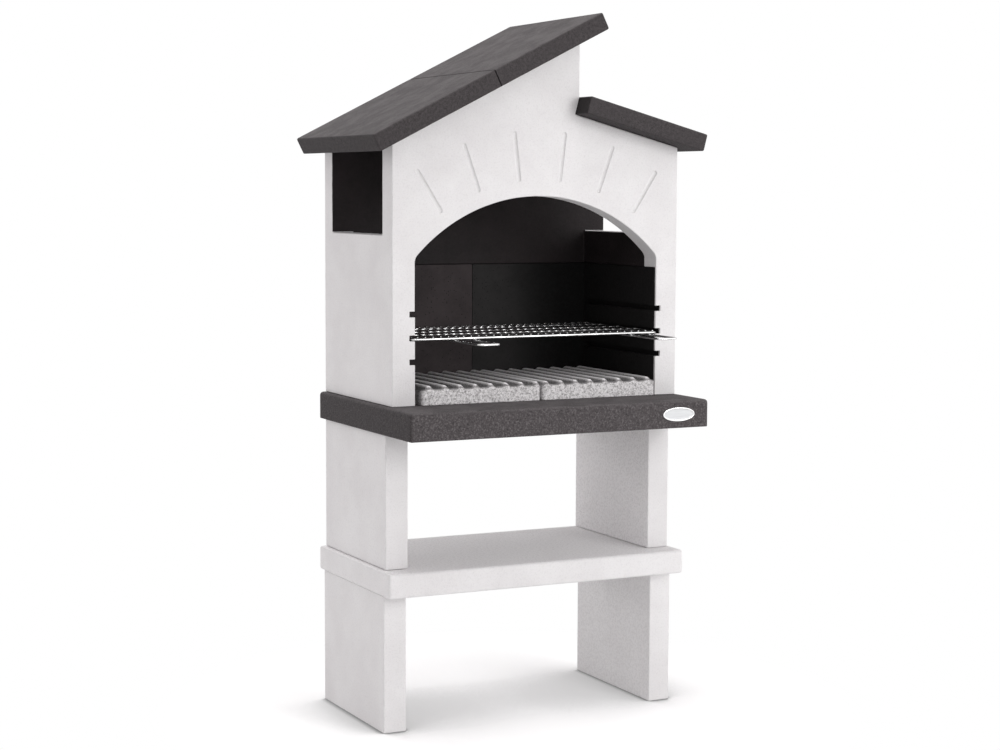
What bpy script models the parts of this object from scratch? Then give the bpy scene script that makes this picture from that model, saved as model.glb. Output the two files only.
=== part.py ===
"""Outdoor masonry barbecue: stacked castings, a lined firebox, three roof slabs and a sliding grill.

Metres, +Z up, front towards -Y. The masonry is symmetric about its own middle plane, and the
origin lies on the floor under the middle of the whole outline, roof overhangs included.
"""

from math import acos, cos, pi, radians, sin, tan

import bmesh
import bpy
from mathutils import Matrix, Vector

# Fits
BED = 0.0003  # bed joint between two castings that rest on or against each other
OVERRUN = 0.02  # how far a cutter runs past the face that it opens

# Legs: two blocks on each side, one under the shelf and one over it
LEG_THICK = 0.065
LEG_EDGE = 0.003
LOWER_LEG_HEIGHT = 0.367
LOWER_LEG_INSET = 0.008  # from the shelf's end
UPPER_LEG_HEIGHT = 0.357
UPPER_LEG_INSET = 0.0115  # from the hob's end
UPPER_LEG_TAIL = 0.020  # from its back to the hob's

# Shelf slab
SHELF_REACH = 0.015  # past the upper leg on each side
SHELF_TAIL = 0.011  # behind the upper legs
SHELF_THICK = 0.066
SHELF_NOSE = 0.060  # in front of the upper legs
SHELF_NOSE_BELOW = 0.056  # in front of the lower legs
SHELF_EDGE = 0.007

# Hob slab, the worktop that carries the hood
HOB_WIDTH = 0.880
HOB_DEPTH = 0.630
HOB_THICK = 0.075
HOB_NOSE = 0.189  # in front of the upper legs
HOB_LEDGE = 0.152  # in front of the hood
HOB_EDGE = 0.010
HOB_FOOT_SHARE = 0.4  # of that rounding, at the lower edges

# Hood: front, back and two side castings
HOOD_INSET = 0.015  # from each end of the hob
HOOD_TAIL = 0.011  # from its back to the hob's
HOOD_EDGE = 0.003
FRONT_THICK = 0.065
BACK_THICK = 0.058
SIDE_THICK = 0.065
SIDE_HEIGHT = 0.442  # the smoke leaves over the side castings, under the roof
LEFT_EAVE_HEIGHT = 0.683  # underside of the roof over the left side face, above the hob
RIGHT_EAVE_HEIGHT = 0.677

# Mouth of the firebox
JAMB_WIDTH = 0.065
ARCH_RADIUS = 0.484
ARCH_HEIGHT = 0.543  # crown above the hob
SPRING_FILLET = 0.030
SPRING_STEPS = 4
ARCH_STEPS = 28

# Score lines over the arch, drawn towards its centre
SCORE_COUNT = 6
SCORE_TURN = radians(13.15)
SCORE_MARGIN = 0.041
SCORE_LENGTH = 0.133
SCORE_WIDTH = 0.008
SCORE_DEEP = 0.003
SCORE_END_STEPS = 4

# Firebox lining, let into the hood
LINING_THICK = 0.030
LINING_HEIGHT = 0.350
LINING_EDGE = 0.002
LIP = 0.008  # what the hood's front keeps in front of the side linings

# Grill grooves in the side linings and notches in the lips
GROOVE_COUNT = 3
GROOVE_FIRST = 0.107  # floor of the lowest groove above the hob
GROOVE_PITCH = 0.062
GROOVE_HEIGHT = 0.0145
GROOVE_DEPTH = 0.0155
GRILL_GROOVE = 1  # the grill lies in the middle groove

# Fire bed: two equal ridged slabs, one turned round
FIRE_SIDE_GAP = 0.0197  # left of them
FIRE_BACK_GAP = 0.006
FIRE_GAP = 0.006  # between them
FIRE_PROUD = 0.002  # in front of the hood's front face
FIRE_RIM = 0.042  # height of the rim at the ends of the channels
FIRE_CORNER = 0.009
RIDGE_PITCH = 0.0447
RIDGE_HEIGHT = 0.009  # above the rim
RIDGE_TOP = 0.007
RIDGE_SHOULDER = 0.014
RIDGE_SHOULDER_SHARE = 0.8
RIDGE_FOOT = 0.023
RIDGE_MARGIN = 0.022  # from the slab's outer edge to the first ridge's middle
CHANNEL_DEEP = 0.012  # below the rim
CHANNEL_RIM = 0.006
CHANNEL_RAMP = 0.012
RIDGE_END_SHARES = (0.3, 0.6, 0.9, 1.0)  # of a ridge's height, from the slab's face in

# Grill
FRAME_WIRE = 0.006
FRAME_CORNER = 0.018
CORNER_STEPS = 4
WIRE_SIDES = 8
GRILL_SETBACK = 0.002  # front of the frame wire behind the hood's front face
GRILL_BACK_GAP = 0.013
GROOVE_PLAY = 0.0015  # between the frame and the floor of a groove's side
BAR_PITCH = 0.022
BAR_WIRE = 0.0035
CROSS_COUNT = 3
CROSS_WIRE = 0.0045
WELD_SINK = 0.0006
HANDLE_WIDTH = 0.064
HANDLE_REACH = 0.154  # in front of the frame
HANDLE_TAIL = 0.080  # behind the front of the frame
HANDLE_CORNER = 0.012
LEFT_HANDLE_SHARE = 0.21  # places of the handles' middles along the frame's width
RIGHT_HANDLE_SHARE = 0.917

# Roof slabs: two on the long left slope and one on the right
ROOF_THICK = 0.048
ROOF_NOSE = 0.0645  # in front of the hood
ROOF_TAIL = 0.0105  # behind the hood
ROOF_EDGE = 0.005
ROOF_EDGE_STEPS = 2
ROOF_JOINT = 0.002
ROOF_JOINT_SHARE = 0.2  # of the rounding, at the joint
LEFT_SLOPE = radians(26.7)
LEFT_OVERHANG = 0.058  # level reach of the underside past the hood's side
LOWER_SLAB_LENGTH = 0.379
PEAK_OVERHANG = 0.054  # level reach of the underside past the gable's step
RIGHT_SLOPE = radians(14.85)
RIGHT_OVERHANG = 0.045
RIGHT_SLAB_LENGTH = 0.3755

# Oval plate on the hob's front
PLATE_WIDTH = 0.098
PLATE_HEIGHT = 0.038
PLATE_THICK = 0.003
PLATE_RIM = 0.004
PLATE_FIELD_SINK = 0.001
PLATE_ARRIS = 0.0008
PLATE_INSET = 0.0955  # from its middle to the hob's right end
PLATE_DROP = 0.037  # from the hob's top to its middle
PLATE_STEPS = 40

# Heights, from the floor up
shelf_base = LOWER_LEG_HEIGHT + BED
shelf_top = shelf_base + SHELF_THICK
upper_leg_base = shelf_top + BED
hob_base = upper_leg_base + UPPER_LEG_HEIGHT + BED
hob_top = hob_base + HOB_THICK
hood_base = hob_top + BED
lining_top = hood_base + LINING_HEIGHT
side_top = hood_base + SIDE_HEIGHT
arch_centre = hood_base + ARCH_HEIGHT - ARCH_RADIUS

# Depths, from the front back
plate_front = -(HOB_DEPTH + PLATE_THICK + BED) / 2
hob_front = plate_front + PLATE_THICK + BED
hob_back = hob_front + HOB_DEPTH
hood_front = hob_front + HOB_LEDGE
front_back = hood_front + FRONT_THICK
hood_back = hob_back - HOOD_TAIL
back_face = hood_back - BACK_THICK
upper_leg_front = hob_front + HOB_NOSE
upper_leg_back = hob_back - UPPER_LEG_TAIL
leg_depth = upper_leg_back - upper_leg_front
shelf_front = upper_leg_front - SHELF_NOSE
lower_leg_front = shelf_front + SHELF_NOSE_BELOW
roof_front = hood_front - ROOF_NOSE
roof_back = hood_back + ROOF_TAIL
fire_front = hood_front - FIRE_PROUD
fire_depth = back_face - FIRE_BACK_GAP - fire_front
grill_front = hood_front + GRILL_SETBACK
grill_depth = back_face - GRILL_BACK_GAP - grill_front

# Widths, from the middle plane out
hob_end = HOB_WIDTH / 2
upper_leg_side = hob_end - UPPER_LEG_INSET
shelf_end = upper_leg_side + SHELF_REACH
lower_leg_side = shelf_end - LOWER_LEG_INSET
hood_side = hob_end - HOOD_INSET
jamb = hood_side - JAMB_WIDTH
lining_seat = jamb + LINING_THICK
fire_width = (2 * jamb - BED - FIRE_GAP - FIRE_SIDE_GAP) / 2
ridge_count = int((fire_width - RIDGE_MARGIN - RIDGE_FOOT / 2) / RIDGE_PITCH) + 1
grill_side = jamb + GROOVE_DEPTH - GROOVE_PLAY
bars_a_side = int((grill_side - FRAME_WIRE - BAR_WIRE) / BAR_PITCH)

# Roof lines: a corner of each underside, the way along it and the way out of it
left_eave = hood_base + LEFT_EAVE_HEIGHT
left_foot = Vector((-hood_side - LEFT_OVERHANG, left_eave - LEFT_OVERHANG * tan(LEFT_SLOPE)))
left_way = Vector((cos(LEFT_SLOPE), sin(LEFT_SLOPE)))
left_up = Vector((-sin(LEFT_SLOPE), cos(LEFT_SLOPE)))
right_way = Vector((cos(RIGHT_SLOPE), -sin(RIGHT_SLOPE)))
right_up = Vector((sin(RIGHT_SLOPE), cos(RIGHT_SLOPE)))
right_eave = hood_base + RIGHT_EAVE_HEIGHT
right_foot = Vector((hood_side + RIGHT_OVERHANG, right_eave - RIGHT_OVERHANG * tan(RIGHT_SLOPE)))
right_head = right_foot - RIGHT_SLAB_LENGTH * right_way
seat_head = right_head - BED * right_way - BED * right_up
step_foot = seat_head + (ROOF_THICK + BED) * right_up
left_length = (step_foot.x + PEAK_OVERHANG - left_foot.x) / cos(LEFT_SLOPE)


def roof_reach(level, slope):
    """How far the rounded upper corner of an eave reaches, from that of its lower corner."""
    turns = [slope - pi / 2 * step / ROOF_EDGE_STEPS for step in range(ROOF_EDGE_STEPS + 1)]
    inset = ROOF_EDGE * (cos(slope) + sin(slope))
    return level + ROOF_THICK * sin(slope) - inset + ROOF_EDGE * max(cos(turn) for turn in turns)


# The middle plane stands off the origin by half the difference of the roof's two reaches
left_reach = roof_reach(-left_foot.x, LEFT_SLOPE)
right_reach = roof_reach(right_foot.x, RIGHT_SLOPE)
middle = Vector(((left_reach - right_reach) / 2, 0, 0))



# Tools
def clear_scene():
    for old in list(bpy.data.objects):
        bpy.data.objects.remove(old, do_unlink=True)


def finish(name, colour, roughness, metallic=0.0):
    made = bpy.data.materials.new(name)
    made.use_nodes = True
    shader = made.node_tree.nodes["Principled BSDF"]
    shader.inputs["Base Color"].default_value = (*colour, 1)
    shader.inputs["Roughness"].default_value = roughness
    shader.inputs["Metallic"].default_value = metallic
    made.diffuse_color = (*colour, 1)
    return made


def place(name, mesh, material, parent):
    made = bpy.data.objects.new(name, mesh)
    bpy.context.collection.objects.link(made)
    mesh.materials.append(material)
    made.parent = parent
    return made


def empty(name, location, parent=None):
    made = bpy.data.objects.new(name, None)
    bpy.context.collection.objects.link(made)
    made.location = location
    made.parent = parent
    return made


def loft(name, sections, closed=False):
    """One closed mesh through rings of equal point counts, capped at both ends or joined up."""
    shape = bmesh.new()
    rings = [[shape.verts.new(point) for point in section] for section in sections]
    pairs = list(zip(rings, rings[1:]))
    if closed:
        pairs.append((rings[-1], rings[0]))
    else:
        shape.faces.new(rings[0])
        shape.faces.new(list(reversed(rings[-1])))
    for ring, following in pairs:
        for index, corner in enumerate(ring):
            shape.faces.new((ring[index - 1], corner, following[index], following[index - 1]))
    bmesh.ops.recalc_face_normals(shape, faces=shape.faces)
    mesh = bpy.data.meshes.new(name)
    shape.to_mesh(mesh)
    shape.free()
    return mesh


def extrude_outline(name, outline, front, back):
    """A prism with its outline in X and Z, from front to back along Y."""
    return loft(name, [[(point[0], depth, point[1]) for point in outline] for depth in (front, back)])


def box(name, low, high):
    plan = [(low[0], low[1]), (high[0], low[1]), (high[0], high[1]), (low[0], high[1])]
    return loft(name, [[(x, y, height) for x, y in plan] for height in (low[2], high[2])])


def soften(thing, width, weigh=None, segments=2):
    """Rounds every sharp edge, or only those that the rule gives a weight."""
    rounded = thing.modifiers.new("arris", "BEVEL")
    rounded.width = width
    rounded.segments = segments
    if weigh is None:
        return thing
    rounded.limit_method = "WEIGHT"
    mesh = thing.data
    weights = mesh.attributes.new("bevel_weight_edge", "FLOAT", "EDGE")
    for edge in mesh.edges:
        first, second = (mesh.vertices[index].co for index in edge.vertices)
        weights.data[edge.index].value = weigh(first, second)
    return thing


def both_at(axis, value):
    """A rule that picks the edges that lie in one plane across an axis."""
    return lambda first, second: float(max(abs(first[axis] - value), abs(second[axis] - value)) < BED)


def smooth(thing):
    for face in thing.data.polygons:
        face.use_smooth = True
    return thing


def combine(thing, name, mesh, operation="DIFFERENCE"):
    """Cuts a mesh out of a piece, or joins it on."""
    other = bpy.data.objects.new(name, mesh)
    bpy.context.collection.objects.link(other)
    other.parent = thing.parent
    other.hide_render = True
    other.display_type = "WIRE"
    step = thing.modifiers.new(name, "BOOLEAN")
    step.operation = operation
    step.solver = "EXACT"
    step.object = other
    return thing


def arc(centre, radius, start, end, steps):
    turns = [start + (end - start) * step / steps for step in range(steps + 1)]
    return [(centre[0] + radius * cos(turn), centre[1] + radius * sin(turn)) for turn in turns]


def wire(name, path, thick, closed=False):
    """A round wire along a level path, mitred at each bend."""
    radius = thick / 2 / cos(pi / WIRE_SIDES)
    points = [Vector(point) for point in path]
    rings = []
    for index, point in enumerate(points):
        ways = []
        if closed or index > 0:
            ways.append((point - points[index - 1]).normalized())
        if closed or index < len(points) - 1:
            ways.append((points[(index + 1) % len(points)] - point).normalized())
        along = sum(ways, Vector()).normalized()
        stretch = 1 / along.dot(ways[0])
        across = along.cross(Vector((0, 0, 1)))
        ring = []
        for step in range(WIRE_SIDES):
            turn = 2 * pi * (step + 0.5) / WIRE_SIDES
            offset = across * stretch * cos(turn) + Vector((0, 0, sin(turn)))
            ring.append(point + radius * offset)
        rings.append(ring)
    return loft(name, rings, closed)


def join(name, meshes):
    """Several meshes as the separate shells of one."""
    shape = bmesh.new()
    for mesh in meshes:
        shape.from_mesh(mesh)
    joined = bpy.data.meshes.new(name)
    shape.to_mesh(joined)
    shape.free()
    return joined


# Legs, shelf and hob
def leg(name, side, reach, front, base, height, parent):
    inner, outer = side * (reach - LEG_THICK), side * reach
    low = (min(inner, outer), front, base)
    high = (max(inner, outer), front + leg_depth, base + height)
    return soften(place(name, box(name, low, high), white, parent), LEG_EDGE)


def shelf(parent):
    low = (-shelf_end, shelf_front, shelf_base)
    high = (shelf_end, upper_leg_back + SHELF_TAIL, shelf_top)
    return soften(place("shelf_slab", box("shelf_slab", low, high), white, parent), SHELF_EDGE)


def hob(parent):
    low = (-hob_end, hob_front, hob_base)
    high = (hob_end, hob_back, hob_top)
    slab = place("hob_slab", box("hob_slab", low, high), anthracite, parent)
    at_foot = both_at(2, hob_base)
    return soften(slab, HOB_EDGE, lambda first, second: HOB_FOOT_SHARE if at_foot(first, second) else 1.0, 3)


# Hood
def hood_outline():
    """Outline of the front and back castings, from the right foot up over the gable."""
    under_left = BED / cos(LEFT_SLOPE)
    under_right = BED / cos(RIGHT_SLOPE)
    peak = left_eave + (hood_side + step_foot.x) * tan(LEFT_SLOPE)
    return [
        (hood_side, hood_base),
        (hood_side, right_eave - under_right),
        (seat_head.x, seat_head.y),
        (step_foot.x, step_foot.y),
        (step_foot.x, peak - under_left),
        (-hood_side, left_eave - under_left),
        (-hood_side, hood_base),
    ]


def mouth_outline():
    """The arch from the foot of its right jamb over to the left one, with rounded springings."""
    reach = ARCH_RADIUS - SPRING_FILLET
    fillet_x = jamb - SPRING_FILLET
    fillet_z = arch_centre + (reach**2 - fillet_x**2) ** 0.5
    turn = acos(fillet_x / reach)
    right = arc((fillet_x, fillet_z), SPRING_FILLET, 0, turn, SPRING_STEPS)
    crown = arc((0, arch_centre), ARCH_RADIUS, turn, pi - turn, ARCH_STEPS)
    left = arc((-fillet_x, fillet_z), SPRING_FILLET, pi - turn, pi, SPRING_STEPS)
    return [(jamb, hood_base), *right, *crown[1:-1], *left, (-jamb, hood_base)]


def comb(side):
    """The spaces of the grill grooves, as prongs that reach out from the mouth."""
    deep = side * (jamb + GROOVE_DEPTH)
    near = side * (jamb - BED)
    root = side * (jamb - OVERRUN)
    first = hood_base + GROOVE_FIRST
    outline = [(root, first - OVERRUN), (near, first - OVERRUN)]
    for index in range(GROOVE_COUNT):
        floor = first + index * GROOVE_PITCH
        ceiling = floor + GROOVE_HEIGHT
        outline += [(near, floor), (deep, floor), (deep, ceiling), (near, ceiling)]
    last = first + GROOVE_COUNT * GROOVE_PITCH
    outline += [(near, last), (root, last)]
    return extrude_outline("comb", outline, hood_front - OVERRUN, back_face + OVERRUN)


def score_line(index):
    """A shallow round-ended groove that points to the arch's centre."""
    turn = (index - (SCORE_COUNT - 1) / 2) * SCORE_TURN
    half = SCORE_WIDTH / 2
    inner = ARCH_RADIUS + SCORE_MARGIN + half
    outer = inner + SCORE_LENGTH - SCORE_WIDTH
    flat = arc((0, outer), half, 0, pi, SCORE_END_STEPS) + arc((0, inner), half, pi, 2 * pi, SCORE_END_STEPS)
    spin = Matrix.Rotation(-turn, 2)
    outline = [spin @ Vector(point) + Vector((0, arch_centre)) for point in flat]
    return extrude_outline("score", outline, hood_front - OVERRUN, hood_front + SCORE_DEEP)


def hood_front_panel(parent):
    outline = hood_outline() + list(reversed(mouth_outline()))
    mesh = extrude_outline("hood_front", outline, hood_front, front_back)
    panel = soften(place("hood_front", mesh, white, parent), HOOD_EDGE, both_at(1, hood_front))
    for side, hand in SIDES:
        ends = sorted((side * (jamb - OVERRUN), side * lining_seat))
        low = (ends[0], hood_front + LIP, hood_base - OVERRUN)
        high = (ends[1], front_back + OVERRUN, lining_top)
        combine(panel, f"front_seat_{hand}", box("front_seat", low, high))
        combine(panel, f"lip_notches_{hand}", comb(side))
    for index in range(SCORE_COUNT):
        combine(panel, f"score_line_{index}", score_line(index))
    return panel


def hood_back_panel(parent):
    mesh = extrude_outline("hood_back", hood_outline(), back_face, hood_back)
    panel = soften(place("hood_back", mesh, white, parent), HOOD_EDGE, both_at(1, hood_back))
    low = (-lining_seat, back_face - OVERRUN, hood_base - OVERRUN)
    high = (lining_seat, back_face + LINING_THICK, lining_top)
    return combine(panel, "back_seat", box("back_seat", low, high))


def hood_side_panel(side, hand, parent):
    name = f"hood_side_{hand}"
    inner = side * (hood_side - SIDE_THICK)
    outline = [
        (side * hood_side, hood_base),
        (side * hood_side, side_top),
        (inner, side_top),
        (inner, lining_top),
        (side * lining_seat, lining_top),
        (side * lining_seat, hood_base),
    ]
    mesh = extrude_outline(name, outline, front_back + BED, back_face - BED)
    return soften(place(name, mesh, white, parent), HOOD_EDGE, both_at(2, side_top))


# Firebox lining
def side_lining(side, hand, parent):
    name = f"lining_side_{hand}"
    ends = sorted((side * jamb, side * (lining_seat - BED)))
    low = (ends[0], hood_front + LIP + BED, hood_base)
    high = (ends[1], back_face - BED, lining_top - BED)
    slab = soften(place(name, box(name, low, high), refractory, parent), LINING_EDGE)
    return combine(slab, f"grooves_{hand}", comb(side))


def back_lining(side, hand, parent):
    name = f"lining_back_{hand}"
    ends = sorted((side * BED / 2, side * (lining_seat - BED)))
    low = (ends[0], back_face, hood_base)
    high = (ends[1], back_face + LINING_THICK - BED, lining_top - BED)
    return soften(place(name, box(name, low, high), refractory, parent), LINING_EDGE)


# Fire bed
def ridge_line(channel, rise):
    """Upper line of a fire bed slab from its outer side in, for one channel height and ridge rise."""
    line = []
    for index in range(ridge_count):
        centre = RIDGE_MARGIN + index * RIDGE_PITCH
        shoulder = channel + RIDGE_SHOULDER_SHARE * rise
        crest = channel + rise
        half_line = [(RIDGE_FOOT / 2, channel), (RIDGE_SHOULDER / 2, shoulder), (RIDGE_TOP / 2, crest)]
        line += [(centre - reach, height) for reach, height in half_line]
        line += [(centre + reach, height) for reach, height in reversed(half_line)]
    return line


def fire_section(depth, channel, crest, tuck):
    far = fire_width - tuck
    ring = [(tuck, 0), (tuck, channel), *ridge_line(channel, crest - channel), (far, channel), (far, 0)]
    return [(x, depth, height) for x, height in ring]


def fire_slab(side, hand, parent):
    """A slab with its outer front corner at its own origin; the right one is the left one turned round."""
    rim = FIRE_RIM
    stations = []
    for step, share in enumerate(RIDGE_END_SHARES):
        turn = pi / 2 * step / (len(RIDGE_END_SHARES) - 1)
        depth = FIRE_CORNER * (1 - cos(turn))
        stations.append((depth, rim, rim + share * RIDGE_HEIGHT, FIRE_CORNER * (1 - sin(turn))))
    crest = rim + RIDGE_HEIGHT
    bank = FIRE_CORNER + CHANNEL_RIM
    stations += [(bank, rim, crest, 0), (bank + CHANNEL_RAMP, rim - CHANNEL_DEEP, crest, 0)]
    stations += [(fire_depth - depth, *rest) for depth, *rest in reversed(stations)]
    name = f"fire_bed_{hand}"
    mesh = loft(name, [fire_section(*station) for station in stations])
    slab = place(name, mesh, ember_stone, parent)
    if side > 0:
        mesh.transform(Matrix.Rotation(pi, 4, "Z") @ Matrix.Translation((0, -fire_depth, 0)))
        slab.location = (jamb - BED, fire_front, hood_base)
    else:
        slab.location = (FIRE_SIDE_GAP - jamb, fire_front, hood_base)
    return slab


# Grill
def grill_frame(parent):
    inset = FRAME_WIRE / 2
    reach = grill_side - inset
    corner = FRAME_CORNER
    near, far = inset, grill_depth - inset
    path = arc((reach - corner, near + corner), corner, -pi / 2, 0, CORNER_STEPS)
    path += arc((reach - corner, far - corner), corner, 0, pi / 2, CORNER_STEPS)
    path += arc((corner - reach, far - corner), corner, pi / 2, pi, CORNER_STEPS)
    path += arc((corner - reach, near + corner), corner, pi, 3 * pi / 2, CORNER_STEPS)
    mesh = wire("grill_frame", [(x, y, 0) for x, y in path], FRAME_WIRE, True)
    return smooth(place("grill_frame", mesh, chrome, parent))


def grill_bars(parent):
    """The front-to-back bars on the frame, welded to cross wires that hang under them."""
    height = (FRAME_WIRE + BAR_WIRE) / 2 + BED
    bars = []
    for index in range(-bars_a_side, bars_a_side + 1):
        x = index * BAR_PITCH
        bars.append(wire("bar", [(x, 0, height), (x, grill_depth, height)], BAR_WIRE))
    drop = height - (BAR_WIRE + CROSS_WIRE) / 2 + WELD_SINK
    reach = grill_side - FRAME_WIRE - BED
    crosses = []
    for index in range(CROSS_COUNT):
        y = grill_depth * (index + 1) / (CROSS_COUNT + 1)
        crosses.append(wire("cross", [(-reach, y, drop), (reach, y, drop)], CROSS_WIRE))
    grid = smooth(place("grill_bars", join("grill_bars", bars), chrome, parent))
    return combine(grid, "cross_wires", join("cross_wires", crosses), "UNION")


def grill_handle(share, hand, parent):
    """A flat U of wire under the front of the frame."""
    centre = (2 * share - 1) * grill_side
    reach = (HANDLE_WIDTH - FRAME_WIRE) / 2
    corner = HANDLE_CORNER
    front = corner + FRAME_WIRE / 2 - HANDLE_REACH
    path = [(centre - reach, HANDLE_TAIL)]
    path += arc((centre - reach + corner, front), corner, pi, 3 * pi / 2, CORNER_STEPS)
    path += arc((centre + reach - corner, front), corner, -pi / 2, 0, CORNER_STEPS)
    path.append((centre + reach, HANDLE_TAIL))
    drop = -FRAME_WIRE - BED
    name = f"grill_handle_{hand}"
    mesh = wire(name, [(x, y, drop) for x, y in path], FRAME_WIRE)
    return smooth(place(name, mesh, chrome, parent))


def grill(parent):
    height = hood_base + GROOVE_FIRST + GRILL_GROOVE * GROOVE_PITCH + BED + FRAME_WIRE / 2
    carrier = empty("grill", (0, grill_front, height), parent)
    grill_frame(carrier)
    grill_bars(carrier)
    for share, (side, hand) in zip((LEFT_HANDLE_SHARE, RIGHT_HANDLE_SHARE), SIDES):
        grill_handle(share, hand, carrier)


# Roof
def roof_slab(name, foot, way, up, length, parent, joint=None):
    """A slab whose underside starts at its foot and runs the given way; its end at a joint is sharper."""
    outline = [foot, foot + length * way, foot + length * way + ROOF_THICK * up, foot + ROOF_THICK * up]
    mesh = extrude_outline(name, outline, roof_front, roof_back)

    def weigh(first, second):
        if joint and max(abs((end.xz - joint).dot(way)) for end in (first, second)) < BED:
            return ROOF_JOINT_SHARE
        return 1.0

    return soften(place(name, mesh, anthracite, parent), ROOF_EDGE, weigh, ROOF_EDGE_STEPS)


def roof(parent):
    joint = left_foot + LOWER_SLAB_LENGTH * left_way
    roof_slab("roof_slab_left_lower", left_foot, left_way, left_up, LOWER_SLAB_LENGTH, parent, joint)
    upper_foot = joint + ROOF_JOINT * left_way
    length = left_length - LOWER_SLAB_LENGTH - ROOF_JOINT
    roof_slab("roof_slab_left_upper", upper_foot, left_way, left_up, length, parent, upper_foot)
    roof_slab("roof_slab_right", right_head, right_way, right_up, RIGHT_SLAB_LENGTH, parent)


# Oval plate
def oval(inset, depth, centre):
    turns = [2 * pi * step / PLATE_STEPS for step in range(PLATE_STEPS)]
    wide, high = PLATE_WIDTH / 2 - inset, PLATE_HEIGHT / 2 - inset
    return [(centre[0] + wide * cos(turn), depth, centre[1] + high * sin(turn)) for turn in turns]


def plate(parent):
    centre = (hob_end - PLATE_INSET, hob_top - PLATE_DROP)
    stations = [
        (0, plate_front + PLATE_THICK),
        (0, plate_front + PLATE_ARRIS),
        (PLATE_ARRIS, plate_front),
        (PLATE_RIM, plate_front),
        (PLATE_RIM + PLATE_ARRIS, plate_front + PLATE_FIELD_SINK),
    ]
    mesh = loft("oval_plate", [oval(inset, depth, centre) for inset, depth in stations])
    return place("oval_plate", mesh, plate_metal, parent)


SIDES = ((-1, "left"), (1, "right"))
clear_scene()
white = finish("white_masonry", (0.74, 0.73, 0.72), 0.85)
anthracite = finish("anthracite_masonry", (0.10, 0.095, 0.09), 0.75)
refractory = finish("dark_refractory", (0.035, 0.032, 0.03), 0.9)
ember_stone = finish("speckled_refractory", (0.52, 0.5, 0.48), 0.9)
chrome = finish("chromed_wire", (0.75, 0.75, 0.76), 0.2, 1.0)
plate_metal = finish("plate_metal", (0.72, 0.71, 0.69), 0.35, 1.0)

masonry = empty("barbecue", middle)
for side, hand in SIDES:
    leg(f"lower_leg_{hand}", side, lower_leg_side, lower_leg_front, 0, LOWER_LEG_HEIGHT, masonry)
    name = f"upper_leg_{hand}"
    leg(name, side, upper_leg_side, upper_leg_front, upper_leg_base, UPPER_LEG_HEIGHT, masonry)
    hood_side_panel(side, hand, masonry)
    side_lining(side, hand, masonry)
    back_lining(side, hand, masonry)
    fire_slab(side, hand, masonry)
shelf(masonry)
hob(masonry)
hood_front_panel(masonry)
hood_back_panel(masonry)
grill(masonry)
roof(masonry)
plate(masonry)
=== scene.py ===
from math import acos, ceil, cos, pi, radians, sin, tan

import bmesh
import bpy
from mathutils import Matrix, Vector


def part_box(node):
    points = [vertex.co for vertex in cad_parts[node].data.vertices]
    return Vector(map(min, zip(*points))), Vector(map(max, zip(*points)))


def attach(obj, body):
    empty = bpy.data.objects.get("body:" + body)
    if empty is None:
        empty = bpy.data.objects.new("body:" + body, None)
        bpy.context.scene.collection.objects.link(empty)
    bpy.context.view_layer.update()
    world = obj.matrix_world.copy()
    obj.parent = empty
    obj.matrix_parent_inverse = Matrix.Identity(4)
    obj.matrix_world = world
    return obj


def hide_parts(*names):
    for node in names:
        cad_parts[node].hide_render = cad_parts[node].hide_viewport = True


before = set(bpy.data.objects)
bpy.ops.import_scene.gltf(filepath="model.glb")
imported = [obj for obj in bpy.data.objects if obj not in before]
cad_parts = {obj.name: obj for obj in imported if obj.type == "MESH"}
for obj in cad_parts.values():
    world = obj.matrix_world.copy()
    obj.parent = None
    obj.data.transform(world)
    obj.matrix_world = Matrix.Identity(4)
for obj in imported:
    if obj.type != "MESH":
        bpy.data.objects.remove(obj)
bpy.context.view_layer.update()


# Node trees
class Pen:
    # writes nodes into one tree; a value is a number, a colour or the output of another node
    def __init__(self, tree):
        self.tree = tree

    def put(self, kind, inputs=None, **settings):
        node = self.tree.nodes.new(kind)
        for key, value in settings.items():
            setattr(node, key, value)
        for key, value in (inputs or {}).items():
            self.feed(node.inputs[key], value)
        return node

    def feed(self, socket, value):
        if isinstance(value, bpy.types.NodeSocket):
            self.tree.links.new(value, socket)
        else:
            socket.default_value = value

    def result(self, kind, inputs=None, **settings):
        return self.put(kind, inputs, **settings).outputs[0]

    def geo(self, kind, inputs=None, **settings):
        return self.result("GeometryNode" + kind, inputs, **settings)

    def math(self, operation, *values, clamp=False):
        return self.result("ShaderNodeMath", dict(enumerate(values)), operation=operation, use_clamp=clamp)

    def plus(self, first, second):
        return self.math("ADD", first, second)

    def minus(self, first, second):
        return self.math("SUBTRACT", first, second)

    def less(self, first, second):
        return self.math("LESS_THAN", first, second)

    def times(self, first, *others):
        for other in others:
            first = self.math("MULTIPLY", first, other)
        return first

    def ramp(self, value, low, high, toLow=0.0, toHigh=1.0, smooth=True):
        kind = "SMOOTHSTEP" if smooth else "LINEAR"
        ends = {0: value, 1: low, 2: high, 3: toLow, 4: toHigh}
        return self.result("ShaderNodeMapRange", ends, interpolation_type=kind)

    def blend(self, factor, first, second):
        return self.put("ShaderNodeMix", {0: factor, 6: first, 7: second}, data_type="RGBA").outputs[2]

    def noise(self, vector, scale, detail, rough):
        values = {"Vector": vector, "Scale": scale, "Detail": detail, "Roughness": rough}
        return self.result("ShaderNodeTexNoise", values)

    def split(self, vector):
        return self.put("ShaderNodeSeparateXYZ", {0: vector}).outputs

    def pack(self, x, y, z):
        return self.result("ShaderNodeCombineXYZ", {0: x, 1: y, 2: z})

    def facing(self):
        return self.split(self.put("ShaderNodeNewGeometry").outputs["Normal"])


def grey(value, tint=(1.0, 1.0, 1.0)):
    return tuple(value * part for part in tint) + (1.0,)


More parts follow.
